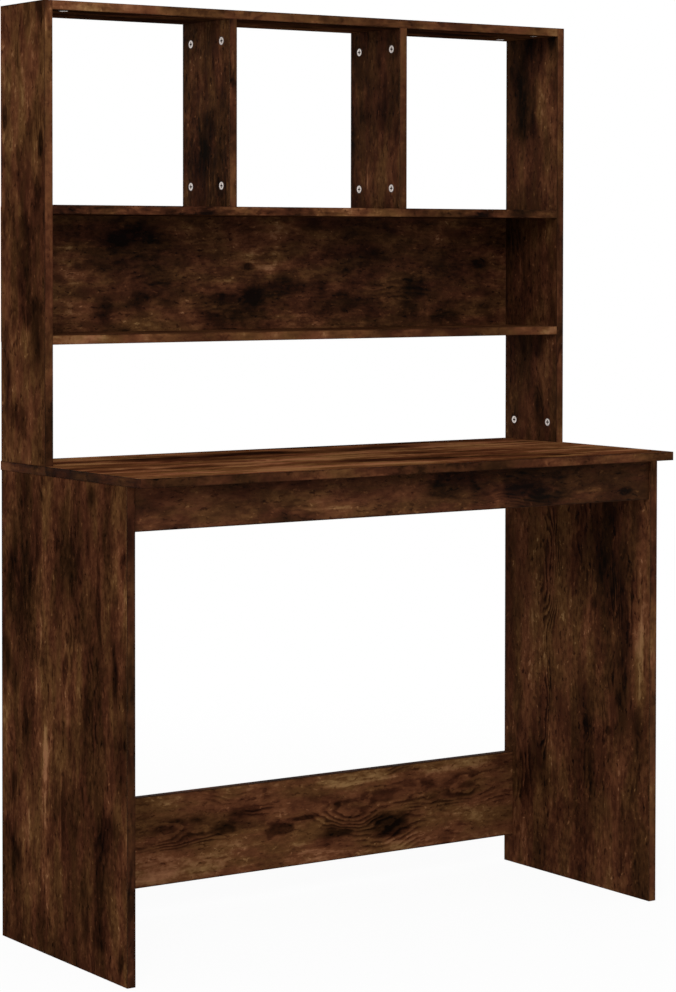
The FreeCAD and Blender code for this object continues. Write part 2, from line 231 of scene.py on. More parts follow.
    # Colour, gloss and relief
    ramp = put(tree, "ValToRGB", {"Fac": tone})
    stops = ramp.color_ramp.elements
    while len(stops) < len(OAK_SHADES):
        stops.new(0.5)
    for stop, (position, shade) in zip(stops, OAK_SHADES):
        stop.position = position
        stop.color = shade
    warmth = fade(tree, fibres(tree, sheet, 9.0, 30.0, 4.0), 0.36, 0.64)
    stain = mixed(tree, warmth, COOL_STAIN, RED_STAIN)
    colour = mixed(tree, 1.0, ramp.outputs["Color"], stain, "MULTIPLY")
    # Painted light: a warm tint for light falling on a board's top, used on the desktop.
    colour = mixed(tree, given["Painted warm light"], colour, PAINTED_WARM_LIGHT, "MULTIPLY")
    dullness = sums(tree, "MULTIPLY_ADD", smoke, 0.3, fine)
    height = sums(tree, "MULTIPLY_ADD", figure, -0.5, grain)
    height = sums(tree, "MULTIPLY_ADD", knots, -0.4, height)
    height = sums(tree, "MULTIPLY_ADD", ticks, -0.8, height)
    tree.links.new(colour, result["Colour"])
    tree.links.new(fade(tree, dullness, -0.5, 0.8, 0.5, 0.72), result["Roughness"])
    tree.links.new(height, result["Height"])
    return tree


def make_mark():
    """One soft oval at a place of its own on a board's face: a cloud, knot, brushed streak or painted light
    or shade.
    """
    tree, given, result = shared_effect(
        "oval_mark",
        {"Place": (0.0, 0.0, 0.0), "Middle": (0.0, 0.0, 0.0), "Reach": (0.1, 0.1, 0.01), "Uneven": 1.4},
        {"Mask": "Float"},
    )
    stretched = moved(tree, "MULTIPLY", given["Place"], (16.0, 34.0, 1.0))
    uneven = joined(tree, given["Uneven"], given["Uneven"])
    uneven = moved(tree, "MULTIPLY", wander(tree, stretched, 1.0, 3.0), uneven)
    away = moved(tree, "SUBTRACT", given["Place"], given["Middle"])
    away = moved(tree, "DIVIDE", away, given["Reach"])
    away = length_of(tree, moved(tree, "ADD", away, uneven))
    tree.links.new(fade(tree, away, 0.1, 1.1, 1.0, 0.0), result["Mask"])
    return tree


def make_chipboard():
    """The boards' core, chips of pale wood pressed with resin, for edges without a band and the holes."""
    tree, given, result = shared_effect("chipboard_core", {"Place": (0.0, 0.0, 0.0)}, {"Colour": "Color"})
    cells = put(tree, "TexVoronoi", {"Vector": given["Place"], "Scale": 380.0}).outputs["Color"]
    chips = mixed(tree, parts_of(tree, cells)[X], srgb(92, 66, 42), srgb(150, 118, 82))
    tree.links.new(chips, result["Colour"])
    return tree


oak_print = make_oak_print()
oval_mark = make_mark()
chipboard_core = make_chipboard()
RIM_WIDTH = 0.0022


def rim_of(tree, spot, node, axes):
    """How near a place is to the node's outline along these axes: 1 on it, 0 past the rim's width."""
    low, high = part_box(node)
    nearest = 1.0
    for axis in axes:
        middle = (low[axis] + high[axis]) / 2
        half = (high[axis] - low[axis]) / 2
        from_middle = sums(tree, "ABSOLUTE", sums(tree, "SUBTRACT", spot[axis], middle))
        nearest = sums(tree, "MINIMUM", sums(tree, "SUBTRACT", half, from_middle), nearest)
    return fade(tree, nearest, 0.0, RIM_WIDTH, 1.0, 0.0)


def new_finish(name):
    """An empty material and its node tree."""
    material = bpy.data.materials.new(name)
    material.use_nodes = True
    material.node_tree.nodes.clear()
    return material, material.node_tree


def close_finish(tree, inputs):
    """Ends a material with its one shader."""
    surface = put(tree, "BsdfPrincipled", inputs)
    put(tree, "OutputMaterial", {"Surface": surface.outputs[0]})


def relief_of(tree, height, strength, depth):
    """Fine relief from a height, at most so deep, in metres."""
    return put(tree, "Bump", {"Strength": strength, "Distance": depth, "Height": height}).outputs[0]


def face_with(node, material):
    """Gives a CAD piece its finish."""
    mesh = nodes[node].data
    mesh.materials.clear()
    mesh.materials.append(material)


MARK_INPUTS = {"dark": "Dark marks", "pale": "Pale marks", "light": "Light", "ring": "Ring swell"}
MARK_DEPTH = 6.0
MARK_SPREAD = 0.75
RING_UNEVEN = 0.5
SQUARE_ON = (0.6, 0.8)


def oak_board(node, axes, seed, face=None, tone=0.5, contrast=1.1, smoke=-0.02, figure=0.5, gloss=0.002,
              raw=None, speckle=1.0, warmth=0.0, shortness=1.0, brushing=1.0, size=(1.0, 1.0, 1.0),
              marks=()):
    """Melamine-faced board. axes are along the grain, across it and into the board. Marks lie on the side at
    face: each is its kind, its place along and across the grain, its length, width and strength, in mm."""
    material, tree = new_finish(f"{node}_foil")
    surroundings = put(tree, "TexCoord", {}).outputs
    spot = parts_of(tree, surroundings["Object"])
    place = joined(tree, *[spot[axis] for axis in axes])
    totals = {}
    for kind, along, across, length, width, strength in marks:
        middle = (along * MM, across * MM, face * MM)
        reach = (length * MARK_SPREAD * MM, width * MARK_SPREAD * MM, MARK_DEPTH * MM)
        mask = put(tree, "Group", {"Place": place, "Middle": middle, "Reach": reach}, node_tree=oval_mark)
        if kind == "ring":
            mask.inputs["Uneven"].default_value = RING_UNEVEN
        label = MARK_INPUTS[kind]
        totals[label] = sums(tree, "MULTIPLY_ADD", mask.outputs["Mask"], strength, totals.get(label, 0.0))
    foil = put(tree, "Group", {
        "Place": moved(tree, "MULTIPLY", place, size),
        "Seed": seed,
        "Tone": tone,
        "Contrast": contrast,
        "Smoke": smoke,
        "Figure": figure,
        "Speckle": speckle,
        "Painted warm light": warmth,
        "Cloud shortness": shortness,
        "Brushing": brushing,
        "Rim": rim_of(tree, spot, node, axes[:2]),
        **totals,
    }, node_tree=oak_print).outputs
    core = put(tree, "Group", {"Place": place}, node_tree=chipboard_core).outputs["Colour"]
    outward = parts_of(tree, surroundings["Normal"])[axes[2]]
    on_face = fade(tree, sums(tree, "ABSOLUTE", outward), *SQUARE_ON)
    colour = mixed(tree, on_face, core, foil["Colour"])
    if raw:
        bare = put(tree, "Group", {"Place": place}, node_tree=raw).outputs["Colour"]
        colour = mixed(tree, fade(tree, outward, *SQUARE_ON), colour, bare)
    close_finish(tree, {
        "Base Color": colour,
        "Roughness": foil["Roughness"],
        "Normal": relief_of(tree, foil["Height"], 0.25, 0.0004),
        "Specular IOR Level": gloss,
    })
    face_with(node, material)


UPRIGHT = (Z, Y, X)
LEFT_OUTSIDE = -550
RIGHT_INSIDE = 535
oak_board("left_leg_panel", UPRIGHT, 1.0, LEFT_OUTSIDE, tone=0.54, smoke=-0.05, gloss=0.0,
          shortness=1.5, brushing=0.4, speckle=1.2, marks=(
    ("dark", 605, 148, 150, 45, 0.3),
    ("dark", 672, -12, 70, 40, 0.5),
    ("dark", 748, 141, 70, 18, 1.0),
    ("dark", 768, -76, 40, 34, 1.1),
    ("dark", 600, -97, 130, 16, 1.8),
    ("dark", 668, -165, 90, 40, 0.7),
    ("dark", 490, 10, 50, 16, 1.8),
    ("dark", 475, -148, 90, 18, 1.5),
    ("dark", 375, -5, 75, 13, 1.1),
    ("dark", 425, 52, 60, 24, 0.6),
    ("dark", 392, 150, 95, 40, 0.6),
    ("dark", 265, 185, 60, 20, 1.0),
    ("dark", 140, 184, 90, 36, 1.0),
    ("dark", 110, -75, 170, 60, 0.6),
    ("dark", 50, -102, 26, 46, 0.9),
    ("dark", 42, -166, 55, 14, 2.0),
    ("pale", 440, 84, 440, 50, 0.62),
    ("pale", 250, 28, 150, 14, 1.0),
    ("pale", 190, 130, 100, 40, 0.4),
    ("pale", 600, -182, 120, 14, 0.7),
    ("light", 590, 150, 280, 70, -0.8),
    ("light", 430, 84, 420, 60, 1.0),
    ("light", 440, -72, 130, 80, -0.8),
    ("light", 300, 135, 120, 70, -0.9),
    ("light", 685, -8, 110, 60, -0.4),
    ("light", 600, -184, 140, 20, 0.7),
    ("ring", 440, -78, 190, 36, 0.7),
    ("light", 170, -85, 260, 90, -1.2),
    ("light", 70, 70, 130, 130, 0.5),
    ("light", 190, 130, 200, 70, 0.8),
    ("light", 720, 0, 170, 420, -0.2),
    ("light", 390, 20, 280, 380, 0.2),
))
oak_board("right_leg_panel", UPRIGHT, 2.0, RIGHT_INSIDE, tone=0.552, contrast=0.88, smoke=-0.05, figure=1.1,
          gloss=0.004, shortness=1.3, brushing=0.6, speckle=1.6, marks=(
    # Painted shadow: the dark patch near the top of the inner face, with the light mark at 640 below.
    ("dark", 640, -70, 160, 110, 0.7),
    ("dark", 520, -110, 150, 30, 0.6),
    ("dark", 500, -8, 60, 16, 0.9),
    ("dark", 185, 150, 90, 90, 0.4),
    ("dark", 265, 138, 60, 14, 1.2),
    ("dark", 140, -70, 90, 30, 0.8),
    ("dark", 290, -12, 34, 16, 1.8),
    ("dark", 290, -72, 18, 14, 2.4),
    ("dark", 355, -100, 30, 16, 1.2),
    ("ring", 570, 90, 180, 50, 1.2),
    ("ring", 330, 108, 220, 36, 0.9),
    ("ring", 290, -12, 60, 34, 0.9),
    ("pale", 210, -112, 120, 30, 0.6),
    ("pale", 440, -162, 200, 24, 0.5),
    ("pale", 240, 90, 300, 24, 0.35),
    # Painted shadow, with the dark mark at 640 above.
    ("light", 640, -55, 200, 160, -1.8),
    ("light", 500, -110, 170, 44, -0.7),
    ("light", 160, -5, 280, 90, -0.9),
    ("light", 185, 165, 90, 80, -0.7),
    ("light", 480, 120, 360, 110, 0.5),
    ("light", 440, -160, 220, 36, 0.7),
    ("light", 200, -112, 150, 36, 0.6),
    ("light", 600, 212, 260, 24, -0.8),
))

# Desktop: one flat board of the same faced chipboard, laid on the ends of both legs and drawn down by their
# cams, flush with their outer faces. Its grain runs along the width, and light falls along it at a low
# angle, so its pale brushed streaks stand out.
LENGTHWAYS = (X, Y, Z)
DESKTOP_TOP = 805
# Painted light: the tone, higher than the other boards', and the warmth paint the brighter, warmer light on
# the top.
oak_board("desktop", LENGTHWAYS, 3.0, DESKTOP_TOP, tone=0.73, contrast=1.45, smoke=-0.05, figure=0.6,
          gloss=0.0, speckle=0.5, warmth=1.0, size=(0.7, 0.9, 1.0), marks=(
    ("dark", -330, 125, 130, 60, 1.4),
    ("dark", -210, 120, 130, 60, 1.3),
    ("dark", -70, 140, 170, 70, 1.5),
    ("dark", 180, 120, 170, 80, 1.5),
    ("dark", 340, 75, 110, 60, 1.2),
    ("dark", -490, -60, 170, 60, 1.5),
    ("dark", -350, -75, 120, 50, 1.3),
    ("dark", -45, -90, 150, 50, 1.6),
    ("dark", 40, -112, 130, 44, 1.6),
    ("dark", 110, -130, 90, 60, 1.2),
    ("dark", 330, -160, 140, 70, 1.3),
    ("dark", 150, -10, 110, 34, 1.0),
    ("dark", 0, 215, 900, 30, 1.2),
    ("light", 100, 30, 460, 110, 1.0),
    ("light", -440, 140, 200, 130, 0.9),
    ("light", -140, -190, 380, 50, 0.7),
    ("light", 440, 30, 160, 60, 0.7),
))

# Rails: the apron under the desktop's front edge and the low stretcher at the rear, of faced chipboard, set
# between the legs. The apron sits on dowels, and the stretcher has dowels and cams in its rear face. Their
# grain runs along them, and the stretcher shows an eye and dark knots.
ON_EDGE = (X, Z, Y)
APRON_FRONT = -180.5
STRETCHER_FRONT = 199.5
oak_board("front_apron", ON_EDGE, 4.0, APRON_FRONT, tone=0.465, contrast=0.8, smoke=-0.05, figure=0.6,
          gloss=0.018, shortness=2.0, brushing=0.45, speckle=1.3, marks=(
    # Painted shadow: a dark strip along the top, under the desktop's overhang.
    ("light", 0, 788, 1400, 26, -0.8),
    ("dark", -440, 756, 240, 60, 0.5),
    ("dark", -210, 775, 90, 20, 0.8),
    ("dark", 88, 760, 90, 48, 1.2),
    ("dark", 290, 757, 130, 50, 1.2),
    ("dark", 482, 735, 26, 15, 1.8),
    ("ring", 290, 757, 200, 70, 0.6),
    ("ring", 160, 746, 60, 40, 0.8),
    ("pale", -190, 733, 300, 22, 0.3),
    ("light", -200, 740, 260, 50, 0.6),
    ("light", -400, 745, 60, 60, 0.5),
    ("light", 20, 738, 80, 50, 0.4),
    ("light", 190, 742, 40, 60, 0.6),
    ("light", 142, 752, 16, 70, -1.0),
    ("light", 64, 760, 20, 70, -0.7),
    ("light", -110, 768, 30, 50, -0.6),
    ("light", -300, 765, 40, 60, -0.6),
    ("light", 388, 752, 70, 60, 0.6),
    ("pale", 390, 738, 110, 20, 0.4),
))
oak_board("rear_stretcher", ON_EDGE, 5.0, STRETCHER_FRONT, tone=0.705, contrast=0.92, smoke=-0.1,
          figure=0.85, shortness=1.5, brushing=0.7, marks=(
    ("dark", 0, 120, 60, 26, 2.8),
    ("dark", 50, 138, 60, 9, 2.2),
    ("dark", 122, 103, 70, 28, 1.5),
    ("light", 122, 103, 80, 30, -0.8),
    ("dark", 250, 103, 90, 50, 1.3),
    ("light", 250, 103, 100, 56, -1.0),
    ("dark", -124, 140, 50, 32, 2.2),
    ("dark", -80, 164, 80, 24, 1.2),
    ("light", -80, 160, 100, 36, -0.7),
    ("dark", -30, 196, 14, 30, 1.4),
    ("dark", -150, 195, 200, 20, 0.8),
    ("ring", -235, 138, 260, 44, 1.0),
    ("ring", 175, 141, 170, 60, 1.2),
    ("ring", 290, 128, 110, 90, 0.4),
    ("ring", 430, 150, 280, 60, 0.8),
    ("light", 100, 143, 60, 34, 1.2),
    ("pale", 60, 82, 260, 40, 0.4),
    ("pale", 180, 195, 300, 26, 0.4),
))

# Hutch sides: two narrow uprights of the same faced chipboard that stand on the desktop's rear. Cams near
# their feet draw them down on bolts in the desktop, and their grain is upright.
oak_board("hutch_left_side", UPRIGHT, 6.0, LEFT_OUTSIDE, tone=0.6, contrast=0.9, smoke=-0.04, gloss=0.0,
          shortness=2.2, brushing=0.35, speckle=1.25, marks=(
    ("light", 1440, 150, 330, 240, 1.45),
    ("light", 960, 150, 340, 240, -0.15),
    ("light", 1210, 190, 120, 44, 0.5),
    ("dark", 1385, 212, 50, 16, 1.8),
    ("dark", 1332, 87, 40, 16, 1.7),
    ("dark", 1545, 92, 60, 26, 1.2),
    ("dark", 1255, 100, 60, 26, 0.8),
    ("dark", 1150, 112, 260, 90, 0.5),
    ("light", 1160, 110, 240, 90, -0.6),
    ("dark", 1040, 150, 110, 90, 0.4),
    ("dark", 940, 205, 120, 26, 0.8),
    ("dark", 870, 165, 80, 44, 0.7),
    ("ring", 1040, 165, 80, 60, 1.0),
    ("pale", 1470, 170, 160, 60, 0.3),
    ("pale", 1010, 140, 60, 60, 0.4),
))
oak_board("hutch_right_side", UPRIGHT, 7.0, RIGHT_INSIDE, tone=0.5, contrast=0.9, smoke=-0.03, gloss=0.007,
          shortness=1.8, brushing=0.5, speckle=1.4, marks=(
    ("dark", 1470, 182, 200, 60, 0.5),
    ("light", 1450, 185, 220, 60, -0.5),
    ("dark", 1400, 172, 90, 40, 0.8),
    ("dark", 1545, 115, 60, 130, 1.0),
    ("dark", 985, 150, 60, 90, 1.3),
    ("dark", 880, 128, 80, 34, 1.6),
    ("ring", 880, 128, 60, 40, 0.8),
    ("pale", 1420, 122, 240, 50, 0.3),
    ("light", 1430, 112, 240, 60, 0.5),
    ("pale", 1260, 110, 80, 60, 0.7),
    ("pale", 1110, 149, 140, 50, 0.5),
    # Painted light and shade: broad zones over the bay above the lower shelf and the bay below it, slightly
    # darker above and lifted below.
    ("light", 1110, 149, 230, 260, -0.05),
    ("light", 905, 149, 260, 200, 0.45),
))

# Hutch top and shelves: three level boards of faced chipboard set between the sides, with their grain along
# the width. The top is drawn to the sides by cams in its underside, the shelves sit on dowels.
oak_board("hutch_top", LENGTHWAYS, 8.0, tone=0.4, gloss=0.0)
oak_board("divider_shelf", LENGTHWAYS, 9.0)
oak_board("lower_shelf", LENGTHWAYS, 10.0)

# Dividers: two short uprights of faced chipboard that split the upper bay in three. Two cams above and two
# below, in their left faces, draw them to the hutch top and the divider shelf.
LEFT_DIVIDER_FACE = -188.33
RIGHT_DIVIDER_FACE = 173.33
oak_board("left_divider", UPRIGHT, 11.0, LEFT_DIVIDER_FACE, tone=0.555, smoke=-0.04, gloss=0.007,
          shortness=2.0, brushing=0.5, speckle=1.3, marks=(
    ("dark", 1355, 142, 150, 90, 0.8),
    ("light", 1372, 148, 150, 120, -0.6),
    ("light", 1395, 220, 330, 14, -0.7),
    # Painted shadow: a dark band near the top, under the hutch top.
    ("dark", 1490, 150, 110, 130, 0.6),
    ("pale", 1402, 166, 60, 14, 0.8),
    ("pale", 1280, 134, 60, 50, 0.7),
))
oak_board("right_divider", UPRIGHT, 12.0, RIGHT_DIVIDER_FACE, tone=0.455, contrast=0.95, smoke=-0.03,
          gloss=0.007, shortness=2.0, brushing=0.5, speckle=1.3, marks=(
    ("dark", 1455, 124, 160, 70, 0.5),
    ("dark", 1430, 185, 200, 40, 0.5),
    ("dark", 1298, 100, 60, 30, 0.7),
    ("light", 1300, 160, 130, 120, 0.9),
    ("light", 1475, 110, 180, 70, -0.8),
    ("light", 1395, 220, 330, 12, -0.6),
    ("pale", 1294, 176, 70, 40, 0.7),
))

# Back panel: a sheet of hard fibreboard, 3 mm thick, nailed on behind the lower bay. The print is on its
# front only, and the back shows the bare pressed fibres with the weave of the press cloth.
PANEL_FRONT = 224.5
WEAVE_PITCH = 2400.0


def make_fibreboard():
    """Bare fibreboard, brown and matted, with a fine weave."""
    tree, given, result = shared_effect("bare_fibreboard", {"Place": (0.0, 0.0, 0.0)}, {"Colour": "Color"})
    mats = specks(tree, given["Place"], 260.0, 5.0, 0.7)
    clouds = specks(tree, given["Place"], 9.0, 3.0)
    parts = parts_of(tree, given["Place"])
    threads = [sums(tree, "SINE", sums(tree, "MULTIPLY", parts[way], WEAVE_PITCH)) for way in (X, Y)]
    weave = sums(tree, "MULTIPLY", *threads)
    tone = sums(tree, "MULTIPLY_ADD", clouds, 0.5, sums(tree, "MULTIPLY_ADD", weave, 0.12, mats))
    shade = mixed(tree, fade(tree, tone, 0.45, 1.05), srgb(96, 66, 42), srgb(150, 112, 76))
    tree.links.new(shade, result["Colour"])
    return tree


fibreboard = make_fibreboard()
oak_board("hutch_back_panel", ON_EDGE, 13.0, PANEL_FRONT, tone=0.51, smoke=-0.03, figure=0.35,
          gloss=0.018, raw=fibreboard, shortness=2.6, brushing=0.6, speckle=1.2, marks=(
    ("dark", -290, 1200, 140, 50, 1.3),
    ("dark", -325, 1164, 50, 32, 1.0),
    ("dark", -245, 1130, 90, 36, 0.6),
    ("dark", -340, 1055, 60, 44, 1.1),
    ("dark", -272, 1070, 60, 50, 0.8),
    ("dark", -72, 1066, 110, 60, 1.0),
    ("dark", -15, 1086, 80, 24, 0.3),
    ("dark", 140, 1066, 130, 60, 0.9),
    ("dark", 70, 1100, 150, 18, 0.7),
    ("dark", 100, 1195, 80, 30, 0.7),
    ("dark", 190, 1150, 110, 30, 0.8),
    ("dark", 235, 1200, 100, 40, 1.2),
    ("dark", 440, 1190, 70, 26, 0.8),
    ("dark", 310, 1092, 60, 24, 0.6),
    ("dark", 372, 1065, 130, 60, 0.9),
    ("dark", 468, 1141, 38, 24, 1.6),
    ("dark", -50, 1131, 20, 12, 2.6),
    ("pale", -420, 1130, 90, 110, 0.4),
    ("pale", -10, 1150, 120, 60, 0.5),
    ("pale", 80, 1045, 110, 22, 0.6),
    ("light", 340, 1120, 340, 240, -0.3),
    ("light", -78, 1066, 130, 70, -1.6),
    ("light", 130, 1070, 150, 60, -1.5),
    ("light", 20, 1088, 140, 36, -1.3),
    ("light", 215, 1145, 130, 50, -0.6),
    ("light", 372, 1065, 120, 60, -0.4),
    ("light", -315, 1185, 120, 80, -0.7),
    ("light", -342, 1052, 60, 50, -0.6),
    ("light", 40, 1150, 280, 90, 0.9),
    ("light", -190, 1050, 120, 40, 0.5),
))

# Edge bands: strips of printed plastic, 1 mm thick, ironed on the boards' edges with glue and rounded over.
# The print is on the broad side, and the cut side shows dark plastic as a thin line along the board's face.
BAND_ROUNDING = 0.0003
BAND_WELD = 0.00001
BAND_SIZE = (1.2, 0.6, 1.0)
BAND_SPECKLE = 0.5
BAND_GLOSS = 0.008
BAND_PLASTIC = srgb(46, 29, 19)
FIRST_BAND_SEED = 20.0
ALL_OVER = 9.0


def band_strip(strips, axes, seed, tone, end_tone, contrast, clouds):
    """Band for a board with these axes. Strips across the grain's end run across the board. Each cloud is
    its place along the strip, its length and its strength, below 0 where it is dark."""
    along, across, into = axes
    material, tree = new_finish(f"{strips}_print")
    surroundings = put(tree, "TexCoord", {}).outputs
    spot = parts_of(tree, surroundings["Object"])
    facing = [sums(tree, "ABSOLUTE", part) for part in parts_of(tree, surroundings["Normal"])]
    at_end = fade(tree, facing[along], *SQUARE_ON)
    long_side = joined(tree, spot[along], spot[into], spot[across])
    short_side = joined(tree, spot[across], spot[into], spot[along])
    place = put(tree, "Mix", {"Factor": at_end, 4: long_side, 5: short_side}, data_type="VECTOR").outputs[1]
    light = 0.0
    for middle, length, strength in clouds:
        mask = put(tree, "Group", {
            "Place": place,
            "Middle": (middle * MM, 0.0, 0.0),
            "Reach": (length * MARK_SPREAD * MM, ALL_OVER, ALL_OVER),
        }, node_tree=oval_mark).outputs["Mask"]
        light = sums(tree, "MULTIPLY_ADD", mask, strength, light)
    foil = put(tree, "Group", {
        "Place": moved(tree, "MULTIPLY", place, BAND_SIZE),
        "Seed": seed,
        "Tone": fade(tree, at_end, 0.0, 1.0, tone, end_tone),
        "Contrast": contrast,
        "Light": light,
        "Speckle": BAND_SPECKLE,
        "Rim": rim_of(tree, spot, strips, (into,)),
    }, node_tree=oak_print).outputs
    close_finish(tree, {
        "Base Color": mixed(tree, fade(tree, facing[into], 0.75, 0.9), foil["Colour"], BAND_PLASTIC),
        "Roughness": foil["Roughness"],
        "Normal": relief_of(tree, foil["Height"], 0.2, 0.0003),
        "Specular IOR Level": BAND_GLOSS,
    })
    face_with(strips, material)


# Each band's axes, tone, tone at the ends, contrast and clouds
BANDS = {
    "left_leg_panel": (UPRIGHT, 0.43, 0.4, 1.1, ((475, 130, -1.4), (70, 110, 0.6), (690, 60, -0.6))),
    "right_leg_panel": (UPRIGHT, 0.6, 0.5, 1.2, ((120, 130, -1.1), (430, 130, 1.2), (670, 130, -1.5))),
    "desktop": (LENGTHWAYS, 0.57, 0.46, 1.2, ((20, 100, -0.8), (270, 300, 0.6), (-310, 120, 0.5))),
    "front_apron": (ON_EDGE, 0.4, 0.4, 1.0, ((88, 90, -0.6), (290, 130, -0.8))),
    "rear_stretcher": (ON_EDGE, 0.35, 0.35, 1.0, ((-30, 60, -0.6), (180, 300, 0.5))),
    "hutch_left_side": (UPRIGHT, 0.5, 0.4, 1.3, (
        (895, 80, -1.1), (1015, 60, 0.8), (1105, 120, -1.3), (1450, 230, 1.5))),
    "hutch_right_side": (UPRIGHT, 0.62, 0.4, 1.1, ((1240, 130, -2.4), (1460, 180, 1.0))),
    "hutch_top": (LENGTHWAYS, 0.76, 0.5, 1.1, (
        (-450, 200, 0.8), (-240, 120, -0.8), (-20, 80, 0.8), (110, 220, -2.8), (350, 160, -0.7))),
    "divider_shelf": (LENGTHWAYS, 0.4, 0.5, 1.8, (
        (-500, 90, -1.4), (-300, 120, -2.5), (110, 220, 1.9), (330, 80, -1.4), (470, 120, -0.6))),
    "lower_shelf": (LENGTHWAYS, 0.74, 0.5, 1.1, (
        (-360, 110, 1.5), (-230, 90, -1.2), (-30, 180, -1.4), (150, 70, -2.0), (380, 200, -1.4))),
    "left_divider": (UPRIGHT, 0.58, 0.5, 1.4, ((1310, 130, -0.6), (1510, 90, 1.0))),
    "right_divider": (UPRIGHT, 0.5, 0.5, 0.9, ((1310, 150, -0.9), (1510, 100, 1.2))),
}
for number, (board, (axes, tone, end_tone, contrast, clouds)) in enumerate(BANDS.items()):
    strips = f"{board}_edge_bands"
    band_strip(strips, axes, FIRST_BAND_SEED + number, tone, end_tone, contrast, clouds)
    nodes[strips].modifiers.new("joined_corners", "WELD").merge_threshold = BAND_WELD
    rounding = nodes[strips].modifiers.new("rounded_over", "BEVEL")
    rounding.width = BAND_ROUNDING
    rounding.segments = 2
    rounding.limit_method = "ANGLE"

# Cams: drums of die-cast zinc, 15 mm across, pressed into blind holes. A screwdriver turns them by the cross
# recess in the face, and the mouth then draws in the bolt's head. The shade in the recess, at the hub and in
# the gap round the drum's rim is painted on the zinc as a dark colour.
CAM_RADIUS = 0.0075
CAM_PAINTED_SHADE = srgb(58, 50, 46)
RECESS_PAINTED_SHADE = (0.0003, 0.0008)
DRUM_RIM_PAINTED_SHADE = (0.0061, 0.0069)
HUB_PAINTED_SHADE = (0.0018, 0.003)
TOP_UNDERSIDE = 1555
STRETCHER_REAR = 214.5


def cast_zinc(cams, axis, face, inward, mirrored):
    """Zinc with a fine casting skin and painted shade at the drum's rim and hub and below its face, a place
    in mm.
    """
    material, tree = new_finish(f"{cams}_zinc")
    place = put(tree, "TexCoord", {}).outputs["Object"]
    spot = parts_of(tree, place)
    low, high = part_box(cams)
    from_axis = []
    for side in (X, Y, Z):
        if side != axis:
            middle = (low[side] + high[side]) / 2
            half = (high[side] - low[side]) / 2
            from_middle = sums(tree, "ABSOLUTE", sums(tree, "SUBTRACT", spot[side], middle))
            from_axis.append(sums(tree, "SUBTRACT", from_middle, half - CAM_RADIUS))
    from_axis = length_of(tree, joined(tree, *from_axis))
    depth = sums(tree, "ABSOLUTE", spot[axis]) if mirrored else spot[axis]
    depth = sums(tree, "MULTIPLY", sums(tree, "SUBTRACT", depth, face * MM), inward)
    skin = specks(tree, place, 900.0, 3.0)
    worn = specks(tree, place, 240.0, 2.0)
    zinc = mixed(tree, fade(tree, worn, 0.35, 0.65), srgb(196, 185, 179), srgb(228, 217, 211))
    # Painted shade: dark in the cross recess below the face, in the gap at the drum's rim and at the hub.
    painted_shade = fade(tree, sums(tree, "MULTIPLY_ADD", skin, 0.0002, depth), *RECESS_PAINTED_SHADE)
    painted_shade = sums(tree, "MAXIMUM", painted_shade, fade(tree, from_axis, *DRUM_RIM_PAINTED_SHADE))
    painted_shade = sums(tree, "MAXIMUM", painted_shade, fade(tree, from_axis, *HUB_PAINTED_SHADE, 0.85, 0.0))
    close_finish(tree, {
        "Base Color": mixed(tree, painted_shade, zinc, CAM_PAINTED_SHADE),
        "Roughness": fade(tree, worn, 0.3, 0.7, 0.36, 0.5),
        "Metallic": fade(tree, painted_shade, 0.0, 1.0, 0.85, 0.2),
        "Normal": relief_of(tree, skin, 0.3, 0.0001),
    })
    face_with(cams, material)


cast_zinc("leg_cams", X, RIGHT_INSIDE, 1.0, True)
cast_zinc("hutch_side_cams", X, RIGHT_INSIDE, 1.0, True)
cast_zinc("left_divider_cams", X, LEFT_DIVIDER_FACE, 1.0, False)
cast_zinc("right_divider_cams", X, RIGHT_DIVIDER_FACE, 1.0, False)
cast_zinc("hutch_top_cams", Z, TOP_UNDERSIDE, 1.0, False)
cast_zinc("stretcher_cams", Y, STRETCHER_REAR, -1.0, False)

# Connecting bolts: turned steel with a bright zinc plating, screwed into the next board. Only their heads
# show, in the mouths of the cams that grip them.
plating, tree = new_finish("zinc_plated_steel")
stain = specks(tree, put(tree, "TexCoord", {}).outputs["Object"], 320.0, 4.0)
close_finish(tree, {
    "Base Color": mixed(tree, fade(tree, stain, 0.35, 0.65), srgb(168, 170, 172), srgb(204, 205, 203)),
    "Roughness": fade(tree, stain, 0.3, 0.7, 0.25, 0.42),
    "Metallic": 1.0,
})
for joint in ("hutch_top", "hutch_side", "left_divider", "right_divider", "leg", "stretcher"):
    face_with(f"{joint}_bolts", plating)

# Dowels: round pins of beech, 8 mm across, turned from rod. They are glued into the ends of the shelves and
# rails and slide into blind holes in the uprights.
beech, tree = new_finish("beech")
place = put(tree, "TexCoord", {}).outputs["Object"]
grain = fibres(tree, place, 40.0, 900.0, 3.0)
pores = fade(tree, fibres(tree, place, 300.0, 2400.0, 2.0), 0.55, 0.7)
close_finish(tree, {
    "Base Color": mixed(tree, grain, srgb(188, 148, 104), srgb(222, 188, 146)),
    "Roughness": fade(tree, grain, 0.3, 0.7, 0.6, 0.75),
    "Normal": relief_of(tree, pores, 0.2, 0.0002),
})
for joint in ("divider_shelf", "lower_shelf", "stretcher", "apron"):
    face_with(f"{joint}_dowels", beech)

